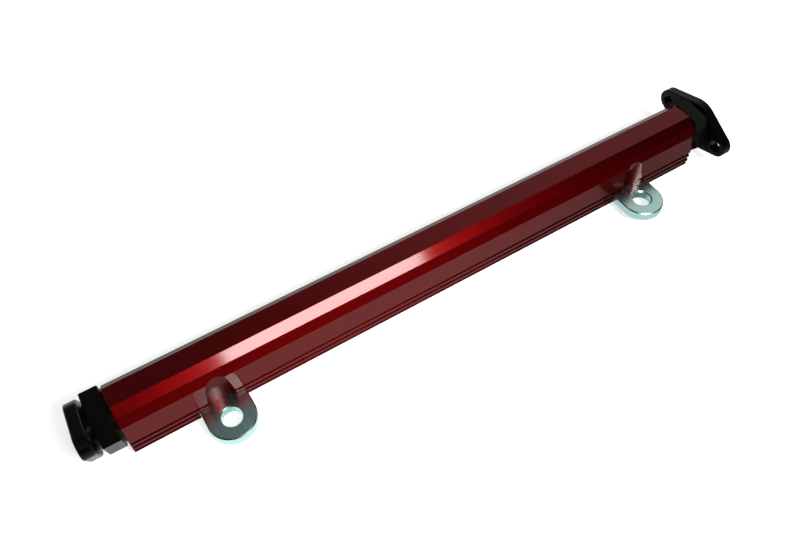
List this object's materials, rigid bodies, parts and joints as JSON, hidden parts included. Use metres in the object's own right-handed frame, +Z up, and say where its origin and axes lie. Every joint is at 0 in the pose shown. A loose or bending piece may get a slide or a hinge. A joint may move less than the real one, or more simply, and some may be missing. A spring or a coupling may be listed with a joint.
{
  "type": "fuel rail",
  "caption": "Straight anodised fuel rail for a four-cylinder engine, with side brackets, injector sockets and a two-bolt flange adapter at each end.",
  "frame": {"origin": "midway between the two bracket bolt holes, on the face where the brackets seat", "axes": "+X along the rail towards the right end, +Y from the bolt line back towards the rail, +Z up, away from the engine"},
  "size_m": [0.3234, 0.0531, 0.0338],
  "materials": {
    "red_anodised_rail": "red anodised aluminium extrusion",
    "black_anodised_fitting": "black anodised machined aluminium",
    "clear_anodised_bracket": "clear anodised flat bar, machined edges",
    "steel_screw": "zinc-plated steel",
    "nitrile_ring": "black nitrile rubber"
  },
  "bodies": {
    "root": {"rail_body": "red_anodised_rail", "left_flange_adapter": "black_anodised_fitting", "left_lock_nut": "black_anodised_fitting", "left_backup_washer": "black_anodised_fitting", "left_port_o_ring": "nitrile_ring", "left_bracket": "clear_anodised_bracket", "left_bracket_screw_1": "steel_screw", "left_bracket_screw_2": "steel_screw", "right_flange_adapter": "black_anodised_fitting", "right_lock_nut": "black_anodised_fitting", "right_backup_washer": "black_anodised_fitting", "right_port_o_ring": "nitrile_ring", "right_bracket": "clear_anodised_bracket", "right_bracket_screw_1": "steel_screw", "right_bracket_screw_2": "steel_screw"}
  },
  "joints": []
}
